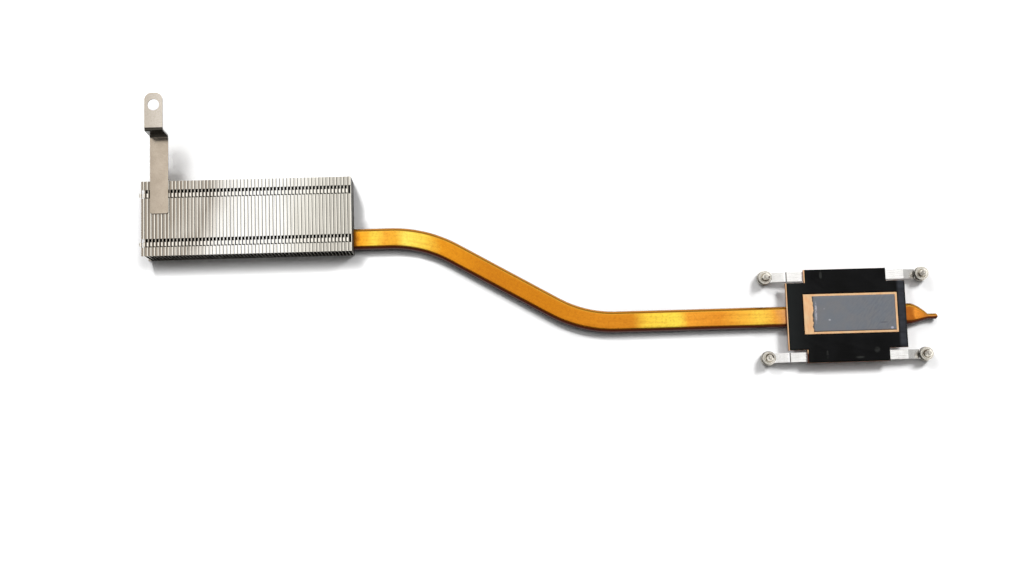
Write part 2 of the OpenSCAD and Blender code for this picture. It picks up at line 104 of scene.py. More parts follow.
def fin_sheet_finish():
    # Nickel-plated aluminium fin stock, rolled, stamped and zipped: every fin sits a
    # little differently, so each catches the light in its own tone; a painted highlight
    # runs as a bright cream line along the fold of each
    material, tree = new_material("fin_stock_nickel_plated_rolled")
    place = add(tree, "TexCoord", out="Object")
    x, y, _ = add(tree, "SeparateXYZ", {0: place}, None)
    # Which fin this is, how far across it, and a random number of its own
    from_end = add(tree, "Math", {0: x, 1: -STACK_X0 * MM}, operation="ADD")
    number = add(tree, "Math", {0: from_end, 1: 1 / (FIN_PITCH * MM)}, operation="MULTIPLY")
    whole = add(tree, "Math", {0: number}, operation="FLOOR")
    across = add(tree, "Math", {0: number}, operation="FRACT")
    own = add(tree, "TexWhiteNoise", {"W": whole}, "Value", noise_dimensions="1D")
    # Rolling lines 0.4 mm apart, drawn coarser than the real 0.1 mm so that they show
    rolling = add(tree, "Mapping", {"Vector": place, "Scale": (1, 0.05, 1)})
    rolled = add(tree, "TexNoise", {"Vector": rolling, "Scale": 2600, "Detail": 2})
    # Dents of 3 by 8 mm from zipping
    zipping = add(tree, "Mapping", {"Vector": place, "Scale": (1, 0.4, 1)})
    dents = add(tree, "TexNoise", {"Vector": zipping, "Scale": 300, "Detail": 1})
    # Plating tone along the stack, end to end, with painted light on it: taupe toward the
    # ends and a painted highlight over the middle; its borders slant and wander by 8 mm
    along = add(tree, "MapRange", {0: x, 1: -0.2254, 2: -0.1587})
    bath = add(tree, "Mapping", {"Vector": place, "Scale": (1, 0.5, 1)})
    wander = add(tree, "TexNoise", {"Vector": bath, "Scale": 130, "Detail": 1})
    slant = add(tree, "MapRange", {0: y, 1: 0.0237, 2: 0.0475, 4: -0.09})
    along = add(tree, "Math", {0: slant, 1: along}, operation="ADD")
    along = add(tree, "Math", {0: wander, 1: 0.16, 2: along}, operation="MULTIPLY_ADD")
    plating_and_highlight = add(tree, "ValToRGB", {0: along}, stops=[
        (0.06, "#93887A"), (0.2, "#9E9385"), (0.27, "#B9B1A6"), (0.31, "#9C9286"),
        (0.38, "#DAD4CC"), (0.43, "#F6F4F0"), (0.52, "#FFFFFF"), (0.68, "#FFFFFE"),
        (0.80, "#E6E3D9"), (0.92, "#C6C2B8"), (1.0, "#B9B5AB")])
    own_share = add(tree, "MapRange", {0: own, 4: 0.2})
    tone = add(tree, "Mix", {0: own_share, 6: plating_and_highlight, 7: "#A39A8E"}, **COLOURS)
    # Painted highlight along the fold, from 0.6 to 0.95 of the pitch
    fold = add(tree, "MapRange", {0: across, 1: 0.56, 2: 0.68})
    fold_end = add(tree, "MapRange", {0: across, 1: 0.9, 2: 0.99, 3: 1, 4: 0})
    fold = add(tree, "Math", {0: fold, 1: fold_end}, operation="MULTIPLY")
    fold_highlighted = add(tree, "Mix", {0: fold, 6: tone, 7: "#FFFAEE"}, **COLOURS)
    streak_share = add(tree, "MapRange", {0: rolled, 1: 0.42, 2: 0.72, 4: 0.12})
    streaked = add(tree, "Mix", {0: streak_share, 6: fold_highlighted, 7: "#968C80"}, **COLOURS)
    # Painted shade: dark in the crevices by ambient occlusion, and on the webs, which are also duller
    crevice = add(tree, "AmbientOcclusion", {"Distance": 1.2 * MM}, "AO", samples=8)
    crevice_shade = add(tree, "MapRange", {0: crevice, 1: 0.3, 2: 0.8, 3: 1, 4: 0})
    crevice_shaded = add(tree, "Mix", {0: crevice_shade, 6: streaked, 7: "#1E1A16"}, **COLOURS)
    facing = add(tree, "SeparateXYZ", {0: add(tree, "NewGeometry", out="Normal")}, None)
    web = add(tree, "Math", {0: facing[0]}, operation="ABSOLUTE")
    web_shade_and_dull = add(tree, "MapRange", {0: web, 1: 0.8, 2: 0.97})
    colour = add(tree, "Mix", {0: web_shade_and_dull, 6: crevice_shaded, 7: "#2C2822"}, **COLOURS)
    # Each fin leans by up to 0.04 of its pitch, and dents go 0.03 mm deep
    tilt = add(tree, "MapRange", {0: own, 3: -0.04 * (FIN_PITCH * MM), 4: 0.04 * (FIN_PITCH * MM)})
    lean = add(tree, "Math", {0: tilt, 1: across}, operation="MULTIPLY")
    height = add(tree, "Math", {0: dents, 1: 0.03 * MM, 2: lean}, operation="MULTIPLY_ADD")
    bump = add(tree, "Bump", {"Height": height, "Distance": 1.0, "Strength": 0.6})
    satin = add(tree, "MapRange", {0: rolled, 1: 0.3, 2: 0.7, 3: 0.14, 4: 0.22})
    roughness = add(tree, "Math", {0: web_shade_and_dull, 1: 0.45, 2: satin}, operation="MULTIPLY_ADD")
    metallic = add(tree, "MapRange", {0: web_shade_and_dull, 3: 1, 4: 0.25})
    shader = add(tree, "BsdfPrincipled", {
        "Base Color": colour, "Metallic": metallic, "Roughness": roughness, "Normal": bump})
    add(tree, "OutputMaterial", {"Surface": shader}, None)
    return material


def pipe_finish():
    # Drawn copper tube, pressed flat and dipped in amber lacquer against tarnish: orange
    # gold with cloudy heat tints and painted highlights, and painted shade red-brown on its front side
    material, tree = new_material("copper_tube_drawn_lacquered")
    place = add(tree, "TexCoord", out="Object")
    run = add(tree, "TexCoord", out="UV")
    # Mottle of 0.7 mm, clouds of 4 mm
    mottle = add(tree, "TexNoise", {"Vector": place, "Scale": 1500, "Detail": 3, "Roughness": 0.6})
    cloud = add(tree, "TexNoise", {"Vector": place, "Scale": 260, "Detail": 2})
    # Drawing lines 0.3 mm apart and 17 mm long, waves of 8 by 17 mm, along the run
    drawn = add(tree, "Mapping", {"Vector": run, "Scale": (60, 3200, 1)})
    lines = add(tree, "TexNoise", {"Vector": drawn, "Scale": 1.0, "Detail": 2})
    pressed = add(tree, "Mapping", {"Vector": run, "Scale": (130, 60, 1)})
    waves = add(tree, "TexNoise", {"Vector": pressed, "Scale": 1.0, "Detail": 1})
    # Lacquer tone along the pipe, from the fins to the tail, by x in mm, with painted light in
    # it: painted highlights (the bright yellow stops) where the flats and the taper's facet
    # catch the light, and painted shade where the pipe leaves the fins
    x = add(tree, "SeparateXYZ", {0: place}, "X")
    along = add(tree, "MapRange", {0: x, 1: -0.160, 2: 0.030})
    along = add(tree, "Math", {0: cloud, 1: 0.02, 2: along}, operation="MULTIPLY_ADD")
    lacquer_and_painted_light = add(tree, "ValToRGB", {0: along}, stops=[((at + 161.9) / 190, colour) for at, colour in (
        (-158.2, "#B8701A"), (-157, "#FFB02C"), (-154.5, "#FFBA38"), (-152, "#FFDC50"),
        (-149, "#F8B03A"), (-145.5, "#F6B438"), (-142, "#FFE662"), (-136.5, "#FFD850"),
        (-131, "#E8981F"), (-116, "#CF801A"), (-96, "#D08119"), (-80, "#DB8A22"),
        (-70, "#D98A24"), (-65, "#FFD648"), (-56, "#FFE050"), (-52.5, "#F2A234"),
        (-42, "#EA962E"), (-34, "#FBBC42"), (-29, "#FFD24E"), (-24, "#F0A840"),
        (-21, "#D89A60"), (16, "#A85E24"), (21.2, "#B4651E"), (21.9, "#FFA13C"),
        (24.6, "#E08A30"), (27, "#C77A4A"))])
    line_share = add(tree, "MapRange", {0: lines, 1: 0.42, 2: 0.7, 4: 0.25})
    lined = add(tree, "Mix", {0: line_share, 6: lacquer_and_painted_light, 7: "#C4741A"}, **COLOURS)
    spot_share = add(tree, "MapRange", {0: mottle, 1: 0.5, 2: 0.72, 4: 0.2})
    spotted = add(tree, "Mix", {0: spot_share, 6: lined, 7: "#BC5C16"}, **COLOURS)
    # Sides, painted by the way they face: brown behind with a painted highlight on the rear
    # shoulder, painted shade red-brown to nearly black in front and below
    facing = add(tree, "SeparateXYZ", {0: add(tree, "NewGeometry", out="Normal")}, None)
    front = add(tree, "ValToRGB", {0: facing[2]}, stops=[
        (0.0, "#1E0600"), (0.5, "#300B00"), (0.8, "#4A1400"), (0.93, "#702A04"), (0.985, "#B0641A")])
    rear = add(tree, "ValToRGB", {0: facing[2]}, stops=[
        (0.0, "#4A2408"), (0.6, "#9A6218"), (0.9, "#C0801E"), (0.975, "#FFC34E")])
    behind = add(tree, "MapRange", {0: facing[1], 1: -0.05, 2: 0.05})
    side = add(tree, "Mix", {0: behind, 6: front, 7: rear}, **COLOURS)
    side_faces = add(tree, "MapRange", {0: facing[2], 1: 0.95, 2: 0.998, 3: 1, 4: 0})
    colour = add(tree, "Mix", {0: side_faces, 6: spotted, 7: side}, **COLOURS)
    # The lacquer on the front sides is thick enough to hide some of the metal
    cover = add(tree, "MapRange", {0: facing[1], 1: -0.05, 2: 0.05, 3: 0.4, 4: 0})
    thick = add(tree, "Math", {0: side_faces, 1: cover}, operation="MULTIPLY")
    metallic = add(tree, "MapRange", {0: thick, 3: 1, 4: 0})
    # Waves 0.12 mm and lines 0.004 mm high
    fine = add(tree, "Math", {0: lines, 1: 0.004 * MM}, operation="MULTIPLY")
    height = add(tree, "Math", {0: waves, 1: 0.12 * MM, 2: fine}, operation="MULTIPLY_ADD")
    bump = add(tree, "Bump", {"Height": height, "Distance": 1.0, "Strength": 1.0})
    roughness = add(tree, "MapRange", {0: mottle, 1: 0.3, 2: 0.7, 3: 0.18, 4: 0.26})
    shader = add(tree, "BsdfPrincipled", {
        "Base Color": colour, "Metallic": metallic, "Roughness": roughness, "Normal": bump,
        "Coat Weight": 0.05, "Coat Roughness": 0.12})
    add(tree, "OutputMaterial", {"Surface": shader}, None)
    return material


def plate_finish():
    # Bare copper plate, surface-ground: salmon pink with fine parallel grinding lines
    material, tree = new_material("copper_plate_surface_ground")
    place = add(tree, "TexCoord", out="Object")
    # Grinding lines 0.14 mm apart, clouds of 3 mm
    ground = add(tree, "Mapping", {"Vector": place, "Scale": (1, 0.05, 1)})
    lines = add(tree, "TexNoise", {"Vector": ground, "Scale": 7000, "Detail": 2})
    clouds = add(tree, "TexNoise", {"Vector": place, "Scale": 350, "Detail": 3})
    cloudy = add(tree, "MapRange", {0: clouds, 1: 0.35, 2: 0.65})
    tone = add(tree, "Mix", {0: cloudy, 6: "#FFD8A8", 7: "#FFC894"}, **COLOURS)
    line_share = add(tree, "MapRange", {0: lines, 1: 0.4, 2: 0.75, 4: 0.3})
    colour = add(tree, "Mix", {0: line_share, 6: tone, 7: "#DDA27C"}, **COLOURS)
    # Side walls brown, painted shade by the way they face
    facing = add(tree, "SeparateXYZ", {0: add(tree, "NewGeometry", out="Normal")}, None)
    side_wall_shade = add(tree, "MapRange", {0: facing[2], 1: 0.3, 2: 0.7, 3: 1, 4: 0})
    colour = add(tree, "Mix", {0: side_wall_shade, 6: colour, 7: "#8E5840"}, **COLOURS)
    # Dark brown patch on the wall of the front left cut-out
    dark_patch = spot_mask(tree, place, -14.6, -14.1, 0.9, 2.2)
    colour = add(tree, "Mix", {0: dark_patch, 6: colour, 7: "#4A2214"}, **COLOURS)
    bump = add(tree, "Bump", {"Height": lines, "Distance": 0.006 * MM, "Strength": 0.6})
    roughness = add(tree, "MapRange", {0: lines, 1: 0.3, 2: 0.7, 3: 0.28, 4: 0.4})
    shader = add(tree, "BsdfPrincipled", {
        "Base Color": colour, "Metallic": 1.0, "Roughness": roughness, "Normal": bump})
    add(tree, "OutputMaterial", {"Surface": shader}, None)
    return material


def film_finish():
    # Black polyester insulating film, calendered: deep black, half gloss, with dust, rub
    # marks and a painted grey sheen where it has come off its adhesive along one edge
    material, tree = new_material("polyester_film_black_calendered")
    place = add(tree, "TexCoord", out="Object")
    x = add(tree, "SeparateXYZ", {0: place}, "X")
    # Dust of 0.2 mm, rub marks of 1.1 by 4 mm, clouds of 11 mm
    dust = add(tree, "TexNoise", {"Vector": place, "Scale": 5200, "Detail": 2})
    rubbing = add(tree, "Mapping", {"Vector": place, "Scale": (0.25, 1, 1)})
    rub = add(tree, "TexNoise", {"Vector": rubbing, "Scale": 900, "Detail": 3})
    cloud = add(tree, "TexNoise", {"Vector": place, "Scale": 90, "Detail": 2})
    cloudy = add(tree, "MapRange", {0: cloud, 1: 0.4, 2: 0.65})
    tone = add(tree, "Mix", {0: cloudy, 6: "#060606", 7: "#101011"}, **COLOURS)
    left_end = add(tree, "MapRange", {0: x, 1: -19 * MM, 2: -12 * MM, 3: 1, 4: 0})
    tone = add(tree, "Mix", {0: left_end, 6: tone, 7: "#1B1D1D"}, **COLOURS)
    # Painted sheen within 1.5 mm of the lifted strip at x 16.6, broken up by the rub noise
    aside = add(tree, "Math", {0: x, 1: 16.6 * MM}, operation="SUBTRACT")
    aside = add(tree, "Math", {0: aside}, operation="ABSOLUTE")
    lift_sheen = add(tree, "MapRange", {0: aside, 1: 0.7 * MM, 2: 1.5 * MM, 3: 1, 4: 0})
    patchy = add(tree, "MapRange", {0: rub, 1: 0.3, 2: 0.7, 3: 0.45, 4: 1})
    patchy_lift_sheen = add(tree, "Math", {0: lift_sheen, 1: patchy}, operation="MULTIPLY")
    tone = add(tree, "Mix", {0: patchy_lift_sheen, 6: tone, 7: "#383A40"}, **COLOURS)
    dusty = add(tree, "MapRange", {0: dust, 1: 0.62, 2: 0.78, 4: 0.4})
    colour = add(tree, "Mix", {0: dusty, 6: tone, 7: "#2A2A2A"}, **COLOURS)
    # Four rubbed marks: x, y, half sizes in mm
    for mark in ((-8.2, -13.2, 0.4, 1.5), (7.9, -11.9, 1.0, 1.0), (-9.1, 12.5, 0.5, 1.4), (2.2, -14.2, 1.6, 0.4)):
        spot = spot_mask(tree, place, *mark)
        broken = add(tree, "MapRange", {0: rub, 1: 0.4, 2: 0.6, 4: 0.8})
        rubbed = add(tree, "Math", {0: spot, 1: broken}, operation="MULTIPLY")
        colour = add(tree, "Mix", {0: rubbed, 6: colour, 7: "#363735"}, **COLOURS)
    bump = add(tree, "Bump", {"Height": rub, "Distance": 0.02 * MM, "Strength": 0.5})
    roughness = add(tree, "MapRange", {0: rub, 1: 0.3, 2: 0.7, 3: 0.3, 4: 0.45})
    shader = add(tree, "BsdfPrincipled", {
        "Base Color": colour, "Metallic": 0.0, "IOR": 1.57, "Specular IOR Level": 0.08,
        "Roughness": roughness, "Normal": bump})
    add(tree, "OutputMaterial", {"Surface": shader}, None)
    return material


def paste_finish():
    # Silicone thermal paste, stencil-printed: matt blue-grey, wiped across in slanting
    # strokes, its left edge dragged dark with a pale dry streak behind it
    material, tree = new_material("silicone_paste_stencil_printed")
    place = add(tree, "TexCoord", out="Object")
    x = add(tree, "SeparateXYZ", {0: place}, "X")
    # Strokes 0.5 mm wide and 2.4 mm long; a Mapping scales before it turns, so there are two
    turned = add(tree, "Mapping", {"Vector": place, "Rotation": (0, 0, math.radians(-52))})
    wiping = add(tree, "Mapping", {"Vector": turned, "Scale": (0.22, 1, 1)})
    strokes = add(tree, "TexNoise", {"Vector": wiping, "Scale": 1900, "Detail": 2})
    # Clouds of 4 mm, ragged bits of 0.7 mm
    clouds = add(tree, "TexNoise", {"Vector": place, "Scale": 230, "Detail": 2})
    ragged = add(tree, "TexNoise", {"Vector": place, "Scale": 1500, "Detail": 2})
    cloudy = add(tree, "MapRange", {0: clouds, 1: 0.38, 2: 0.62})
    tone = add(tree, "Mix", {0: cloudy, 6: "#71757B", 7: "#76777A"}, **COLOURS)
    # Strokes show more and more from x -4 to x 8
    wiped = add(tree, "MapRange", {0: x, 1: -4 * MM, 2: 8 * MM, 3: 0.12, 4: 0.55})
    stroke = add(tree, "MapRange", {0: strokes, 1: 0.42, 2: 0.62})
    stroke = add(tree, "Math", {0: stroke, 1: wiped}, operation="MULTIPLY")
    lined = add(tree, "Mix", {0: stroke, 6: tone, 7: "#666B74"}, **COLOURS)
    # Dark dragged left edge, ragged by 0.9 mm
    edge = add(tree, "Math", {0: ragged, 1: 0.9 * MM, 2: x}, operation="MULTIPLY_ADD")
    dragged = add(tree, "MapRange", {0: edge, 1: -11.75 * MM, 2: -11.35 * MM, 3: 1, 4: 0})
    edged = add(tree, "Mix", {0: dragged, 6: lined, 7: "#55504E"}, **COLOURS)
    streak = spot_mask(tree, place, -11.25, 0.4, 0.34, 3.6)
    broken = add(tree, "MapRange", {0: ragged, 1: 0.42, 2: 0.56, 3: 0.15, 4: 1})
    dry = add(tree, "Math", {0: streak, 1: broken}, operation="MULTIPLY")
    colour = add(tree, "Mix", {0: dry, 6: edged, 7: "#B4B2BC"}, **COLOURS)
    # Three dry crumbs and a scratch: x, y, half sizes in mm, colour
    for *mark, tint in ((-7.0, -2.0, 0.42, 0.3, "#A8A8AE"), (13.1, -5.0, 0.5, 0.4, "#B0B0C0"),
                        (-8.6, 1.6, 0.25, 0.2, "#8E8E94"), (10.4, -3.2, 1.5, 0.12, "#4A4E58")):
        colour = add(tree, "Mix", {0: spot_mask(tree, place, *mark), 6: colour, 7: tint}, **COLOURS)
    bump = add(tree, "Bump", {"Height": strokes, "Distance": 0.03 * MM, "Strength": 0.5})
    roughness = add(tree, "MapRange", {0: clouds, 1: 0.3, 2: 0.7, 3: 0.5, 4: 0.65})
    shader = add(tree, "BsdfPrincipled", {
        "Base Color": colour, "Metallic": 0.0, "IOR": 1.45, "Specular IOR Level": 0.3,
        "Roughness": roughness, "Normal": bump})
    add(tree, "OutputMaterial", {"Surface": shader}, None)
    return material


def spring_finish():
    # Stainless spring strip, cold rolled: almost white, brushed along its length, not
    # quite flat, with pale and grey bands of painted reflection across it
    material, tree = new_material("stainless_spring_strip_rolled")
    place = add(tree, "TexCoord", out="Object")
    # Brushing lines 0.13 mm apart, bands 4 mm wide
    brushed = add(tree, "Mapping", {"Vector": place, "Scale": (0.04, 1, 1)})
    lines = add(tree, "TexNoise", {"Vector": brushed, "Scale": 8000, "Detail": 2})
    buckled = add(tree, "Mapping", {"Vector": place, "Scale": (1, 0.12, 1)})
    bands = add(tree, "TexNoise", {"Vector": buckled, "Scale": 260, "Detail": 1})
    band_sheen = add(tree, "MapRange", {0: bands, 1: 0.35, 2: 0.65})
    tone = add(tree, "Mix", {0: band_sheen, 6: "#FFFEFC", 7: "#F0EEEA"}, **COLOURS)
    line_share = add(tree, "MapRange", {0: lines, 1: 0.45, 2: 0.75, 4: 0.3})
    colour = add(tree, "Mix", {0: line_share, 6: tone, 7: "#CFCBC6"}, **COLOURS)
    # Painted lines across the left arms where they bend, at x in mm: painted shade on the step
    # and a painted highlight beside it
    for x, tint in ((-19.95, "#5E5A56"), (-20.4, "#FFFFFF")):
        painted_bend_line = spot_mask(tree, place, x, 0, 0.22, 40)
        colour = add(tree, "Mix", {0: painted_bend_line, 6: colour, 7: tint}, **COLOURS)
    # Bands 0.12 mm and lines 0.003 mm high
    fine = add(tree, "Math", {0: lines, 1: 0.003 * MM}, operation="MULTIPLY")
    height = add(tree, "Math", {0: bands, 1: 0.12 * MM, 2: fine}, operation="MULTIPLY_ADD")
    bump = add(tree, "Bump", {"Height": height, "Distance": 1.0, "Strength": 0.7})
    roughness = add(tree, "MapRange", {0: lines, 1: 0.3, 2: 0.7, 3: 0.18, 4: 0.28})
    shader = add(tree, "BsdfPrincipled", {
        "Base Color": colour, "Metallic": 1.0, "Roughness": roughness, "Normal": bump})
    add(tree, "OutputMaterial", {"Surface": shader}, None)
    return material


def nickel_finish():
    # Barrel-nickelled carbon steel of screws and rings: warm grey, satin, lightly scuffed
    material, tree = new_material("carbon_steel_nickel_plated")
    place = add(tree, "TexCoord", out="Object")
    # Scuffs of 0.4 mm
    scuffs = add(tree, "TexNoise", {"Vector": place, "Scale": 2600, "Detail": 3, "Roughness": 0.6})
    scuffed = add(tree, "MapRange", {0: scuffs, 1: 0.35, 2: 0.7})
    colour = add(tree, "Mix", {0: scuffed, 6: "#CFCAC0", 7: "#B2ADA2"}, **COLOURS)
    bump = add(tree, "Bump", {"Height": scuffs, "Distance": 0.006 * MM, "Strength": 0.4})
    roughness = add(tree, "MapRange", {0: scuffs, 1: 0.3, 2: 0.7, 3: 0.1, 4: 0.18})
    shader = add(tree, "BsdfPrincipled", {
        "Base Color": colour, "Metallic": 1.0, "Roughness": roughness, "Normal": bump})
    add(tree, "OutputMaterial", {"Surface": shader}, None)
    return material


def bracket_finish():
    # Pre-plated mild steel sheet, skin-passed and pressed: warm beige grey, faintly
    # grained, painted paler on the ear, with painted shade on the front of the upward bend
    material, tree = new_material("mild_steel_sheet_preplated")
    place = add(tree, "TexCoord", out="Object")
    x, y, _ = add(tree, "SeparateXYZ", {0: place}, None)
    # Grain of 0.24 mm, clouds of 4 mm
    peened = add(tree, "TexNoise", {"Vector": place, "Scale": 4200, "Detail": 3, "Roughness": 0.6})
    clouds = add(tree, "TexNoise", {"Vector": place, "Scale": 260, "Detail": 3})
    cloudy = add(tree, "MapRange", {0: clouds, 1: 0.35, 2: 0.65})
    tone = add(tree, "Mix", {0: cloudy, 6: "#C9BBA9", 7: "#BBAD9B"}, **COLOURS)
    # Ear painted paler, as it catches more light, and darker towards the foot's far edge
    ear = add(tree, "MapRange", {0: y, 1: 61 * MM, 2: 63 * MM})
    tone = add(tree, "Mix", {0: ear, 6: tone, 7: "#D6CDC1"}, **COLOURS)
    far_edge = add(tree, "MapRange", {0: x, 1: -221.6 * MM, 2: -217 * MM, 3: 0.3, 4: 0})
    tone = add(tree, "Mix", {0: far_edge, 6: tone, 7: "#9A8F80"}, **COLOURS)
    grained = add(tree, "MapRange", {0: peened, 1: 0.42, 2: 0.7, 4: 0.35})
    colour = add(tree, "Mix", {0: grained, 6: tone, 7: "#A89A89"}, **COLOURS)
    # Painted shade on the front of the upward bend, and on the edges that face the fins' near end
    facing = add(tree, "SeparateXYZ", {0: add(tree, "NewGeometry", out="Normal")}, None)
    bend_front_shade = add(tree, "MapRange", {0: facing[1], 1: -0.3, 2: -0.75})
    colour = add(tree, "Mix", {0: bend_front_shade, 6: colour, 7: "#26241F"}, **COLOURS)
    near_edge_shade = add(tree, "MapRange", {0: facing[0], 1: 0.4, 2: 0.8})
    colour = add(tree, "Mix", {0: near_edge_shade, 6: colour, 7: "#3E3A35"}, **COLOURS)
    bump = add(tree, "Bump", {"Height": peened, "Distance": 0.008 * MM, "Strength": 0.4})
    roughness = add(tree, "MapRange", {0: peened, 1: 0.3, 2: 0.7, 3: 0.15, 4: 0.22})
    shader = add(tree, "BsdfPrincipled", {
        "Base Color": colour, "Metallic": 1.0, "Roughness": roughness, "Normal": bump})
    add(tree, "OutputMaterial", {"Surface": shader}, None)
    return material


finishes = {
    "fin_sheet": fin_sheet_finish(), "pipe_copper": pipe_finish(), "plate_copper": plate_finish(),
    "black_film": film_finish(), "grey_paste": paste_finish(), "spring_steel": spring_finish(),
    "nickel_plate": nickel_finish(), "bracket_steel": bracket_finish()}
CORNERS = ["front_left", "front_right", "rear_left", "rear_right"]
wears = {"cooling_fins": "fin_sheet", "fin_far_end": "fin_sheet", "fin_near_end": "fin_sheet",
         "heat_pipe": "pipe_copper", "base_plate": "plate_copper", "insulating_film": "black_film",
         "thermal_paste": "grey_paste", "leaf_spring_front": "spring_steel",
         "leaf_spring_rear": "spring_steel", "fan_bracket": "bracket_steel"}
for corner in CORNERS:
    wears["screw_" + corner] = wears["ring_" + corner] = "nickel_plate"
for name, finish in wears.items():
    slots = nodes[name].material_slots
    if not slots:
        nodes[name].data.materials.append(finishes[finish])
    for material_slot in slots:
        material_slot.material = finishes[finish]


# ---------------------------------------------------------------- pieces

def new_piece(name, verts, faces, finish, body):
    """Smooth object from vertices in metres and faces, dressed, riding on a body."""
    mesh = bpy.data.meshes.new(name)
    mesh.from_pydata(verts, [], faces)
    mesh.validate()
    piece = bpy.data.objects.new(name, mesh)
    bpy.context.scene.collection.objects.link(piece)
    mesh.materials.append(finishes[finish])
    mesh.polygons.foreach_set("use_smooth", [True] * len(mesh.polygons))
    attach(piece, body)
    return piece


# The pipe's sizes, as in the part's source (mm, degrees)
PLATE_X0, PLATE_X1, PIPE_Y, PIPE_Z = -20.6, 18.0, -0.5, -3.1
PIPE_W, PIPE_T, SIDE_R, OFFSET, BEND, BEND_R = 6.9, 2.8, 1.36, 29.0, 30.0, 40.0
RUN_L, FIN_RUN_L, END_INSET = 65.4, 22.5, 3.0
TIP_RUN_L, TAPER_L, TAIL_L, TAIL_D, TAIL_SHIFT = 1.9, 5.7, 3.3, 1.8, 1.0
STACK_L = FIN_COUNT * FIN_PITCH
# How far the pressed flats dip in the middle, and how deep their waves are, in mm
FLAT_DIP, FLAT_WAVE = 0.035, 0.02


def pipe_stations():
    """[x, y, heading, width, thickness] along the pipe, closed end first."""
    rad = math.radians
    corner_a = PLATE_X0 - RUN_L
    corner_b = corner_a - OFFSET / math.tan(rad(BEND))
    tangent = BEND_R * math.tan(rad(BEND / 2))
    start = corner_b - FIN_RUN_L - STACK_L + END_INSET
    high = PIPE_Y + OFFSET
    taper_x = PLATE_X1 + TIP_RUN_L
    fin_steps, turns, slant_steps, plate_steps, taper_steps, tail_steps = 30, 36, 16, 60, 24, 8
    out = []
    # Rounded closed end, inside the fins
    for i in range(6):
        a = rad(18 * i)
        shrink = 1.2 * (1 - math.sin(a))
        out.append((start + 0.6 * (1 - math.cos(a)), high, 0, PIPE_W - shrink, PIPE_T - shrink))
    for k in range(1, fin_steps):
        out.append((start + 0.6 + (corner_b - tangent - start - 0.6) * k / fin_steps, high, 0, PIPE_W, PIPE_T))
    # First bend, slanting run, second bend
    for k in range(turns + 1):
        a = rad(BEND * k / turns)
        x, y = corner_b - tangent + BEND_R * math.sin(a), high - BEND_R + BEND_R * math.cos(a)
        out.append((x, y, -a, PIPE_W, PIPE_T))
    x0, y0 = out[-1][:2]
    a = rad(BEND)
    x1, y1 = corner_a + tangent - BEND_R * math.sin(a), PIPE_Y + BEND_R - BEND_R * math.cos(a)
    for k in range(1, slant_steps):
        out.append((x0 + (x1 - x0) * k / slant_steps, y0 + (y1 - y0) * k / slant_steps, -a, PIPE_W, PIPE_T))
    for k in range(turns + 1):
        a = rad(BEND * (turns - k) / turns)
        x, y = corner_a + tangent - BEND_R * math.sin(a), PIPE_Y + BEND_R - BEND_R * math.cos(a)
        out.append((x, y, -a, PIPE_W, PIPE_T))
    # Run under the plate, taper, tail with a domed end
    x0 = out[-1][0]
    for k in range(1, plate_steps):
        out.append((x0 + (taper_x - x0) * k / plate_steps, PIPE_Y, 0, PIPE_W, PIPE_T))
    for k in range(taper_steps + 1):
        s = k / taper_steps
        out.append((taper_x + s * TAPER_L, PIPE_Y - TAIL_SHIFT * s * s, 0,
                    TAIL_D + (PIPE_W - TAIL_D) * (1 - s ** 1.35), TAIL_D + (PIPE_T - TAIL_D) * (1 - s)))
    for k in range(1, tail_steps + 1):
        tail_x = taper_x + TAPER_L + (TAIL_L - TAIL_D / 2) * k / tail_steps
        out.append((tail_x, PIPE_Y - TAIL_SHIFT, 0, TAIL_D, TAIL_D))
    for k in range(1, 6):
        a = rad(15 * k)
        d = TAIL_D * math.cos(a)
        out.append((taper_x + TAPER_L + TAIL_L - TAIL_D / 2 * (1 - math.sin(a)), PIPE_Y - TAIL_SHIFT, 0, d, d))
    return out


def pipe_ring(width, thickness):
    """Section points in mm: round shoulders, and flats with points along them."""
    r = min(SIDE_R, thickness / 2 - 0.01, width / 2 - 0.01)
    points = []
    for quarter in range(4):
        sx = 1 if quarter in (0, 3) else -1
        sz = 1 if quarter < 2 else -1
        for k in range(9):
            a = math.radians(90 * quarter + 90 * k / 8)
            points.append((sx * (width / 2 - r) + r * math.cos(a), sz * (thickness / 2 - r) + r * math.sin(a)))
        if quarter in (0, 2):
            # Flat from this shoulder to the next
            last = points[-1]
            to = (width / 2 - r) * (quarter - 1)
            points += [(last[0] + (to - last[0]) * j / 5, last[1]) for j in range(1, 5)]
    return points


